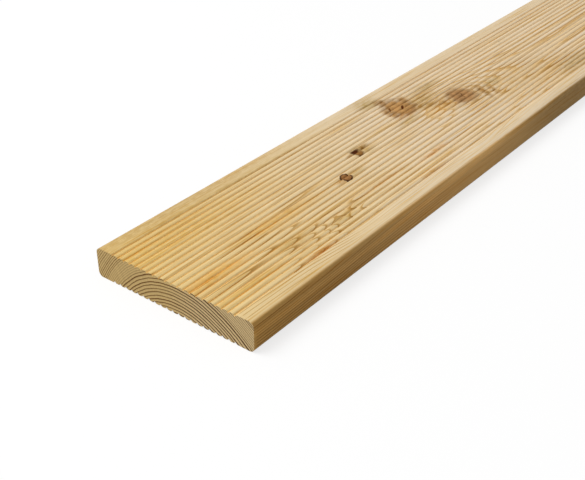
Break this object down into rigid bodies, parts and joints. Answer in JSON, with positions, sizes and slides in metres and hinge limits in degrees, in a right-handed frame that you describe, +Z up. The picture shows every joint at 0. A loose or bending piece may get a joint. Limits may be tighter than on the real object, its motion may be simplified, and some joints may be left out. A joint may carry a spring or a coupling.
{
  "type": "decking board",
  "caption": "Flat softwood plank with rounded arrises and fine lengthwise reeds on both faces, laid over joists as an outdoor walking surface.",
  "frame": {"origin": "centre of the underside, on the plane of its crests and margins", "axes": "+X along the board, away from the end that the picture shows; +Y across it, towards the picture's left-hand edge; +Z up, out of the walking face"},
  "size_m": [1.8, 0.145, 0.024],
  "materials": {
    "softwood": "planed and reeded, untreated, with sawn ends"
  },
  "bodies": {
    "root": {"decking_board": "softwood"}
  },
  "joints": []
}
